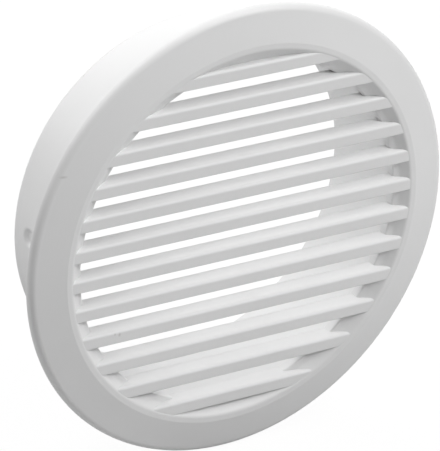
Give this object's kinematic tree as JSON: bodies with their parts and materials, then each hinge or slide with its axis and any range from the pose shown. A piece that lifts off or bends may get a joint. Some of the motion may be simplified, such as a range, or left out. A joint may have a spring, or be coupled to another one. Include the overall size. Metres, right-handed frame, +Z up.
{
  "type": "round vent cover",
  "caption": "Round white moulded vent cover: a domed flange, fixed horizontal louvre slats across the opening and a short collar behind that enters a duct.",
  "frame": {"origin": "centre of the flange's back plane, which lies on the wall, on the collar's axis", "axes": "+Y from the wall plane back along the collar into the duct, the face looks along -Y, +Z up, the slats lie along X"},
  "size_m": [0.1192, 0.03, 0.1192],
  "materials": {
    "white_plastic": "satin white injection moulding"
  },
  "bodies": {
    "root": {"vent_cover": "white_plastic"}
  },
  "joints": []
}
